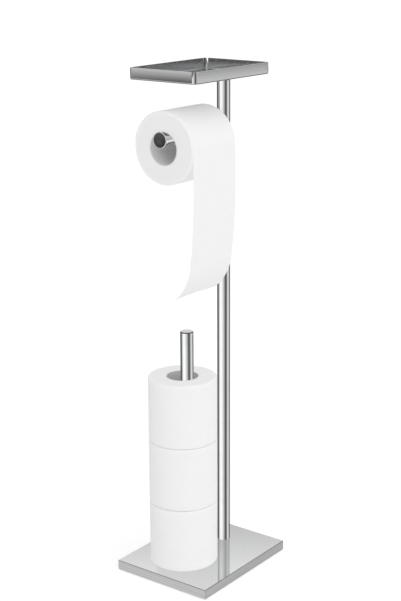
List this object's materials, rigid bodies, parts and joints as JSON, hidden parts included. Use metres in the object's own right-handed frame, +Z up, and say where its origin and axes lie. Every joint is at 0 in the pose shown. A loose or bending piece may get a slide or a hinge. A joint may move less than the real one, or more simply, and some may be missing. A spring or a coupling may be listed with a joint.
{
  "type": "toilet roll storage holder",
  "caption": "Free-standing chrome post on a weighted brushed plate base with a shallow tray on top, a side arm for the toilet roll in use and an upright rod that stacks spare rolls.",
  "frame": {"origin": "middle of the base's underside, on the floor", "axes": "+Z up along the post; -Y the way the arm points, so the post stands towards +Y; +X the side on which the loose sheet hangs"},
  "size_m": [0.17, 0.21, 0.779],
  "materials": {
    "brushed_base": "satin",
    "brushed_tray": "satin",
    "chrome": "polished",
    "zinc": "satin",
    "ballast": "matte",
    "pad_rubber": "matte",
    "core_board": "matte",
    "wound_tissue": "matte",
    "loose_tissue": "matte"
  },
  "bodies": {
    "stand": {"base_cover": "brushed_base", "ballast_plate": "ballast", "base_pad": "pad_rubber", "base_screws": "zinc", "base_washers": "zinc", "post_tube": "chrome", "post_foot_plug": "zinc", "post_block": "zinc", "post_flange": "zinc", "tray": "brushed_tray", "tray_studs": "zinc", "tray_nuts": "zinc", "arm_collar": "chrome", "arm_tube": "chrome", "arm_root_plug": "zinc", "arm_stud": "zinc", "arm_end_cap": "chrome", "rod_tube": "chrome", "rod_foot_plug": "zinc", "rod_top_cap": "chrome", "hanging_sheet": "loose_tissue"},
    "hanging_roll": {"hanging_roll_core": "core_board", "hanging_roll_paper": "wound_tissue"},
    "bottom_spare_roll": {"spare_roll_bottom_core": "core_board", "spare_roll_bottom_paper": "wound_tissue"},
    "middle_spare_roll": {"spare_roll_middle_core": "core_board", "spare_roll_middle_paper": "wound_tissue"},
    "top_spare_roll": {"spare_roll_top_core": "core_board", "spare_roll_top_paper": "wound_tissue"}
  },
  "joints": [
    {"name": "roll_spin", "type": "hinge", "parent": "stand", "child": "hanging_roll", "pos_m": [0, 0, 0.6688], "axis": [0, 1, 0], "continuous": true},
    {"name": "bottom_roll_lift", "type": "slide", "parent": "stand", "child": "bottom_spare_roll", "axis": [0, 0, 1], "range_m": [0, 0.04]},
    {"name": "middle_roll_lift", "type": "slide", "parent": "bottom_spare_roll", "child": "middle_spare_roll", "axis": [0, 0, 1], "range_m": [0, 0.06]},
    {"name": "top_roll_lift", "type": "slide", "parent": "middle_spare_roll", "child": "top_spare_roll", "axis": [0, 0, 1], "range_m": [0, 0.18], "deforming": ["hanging_sheet"]}
  ]
}
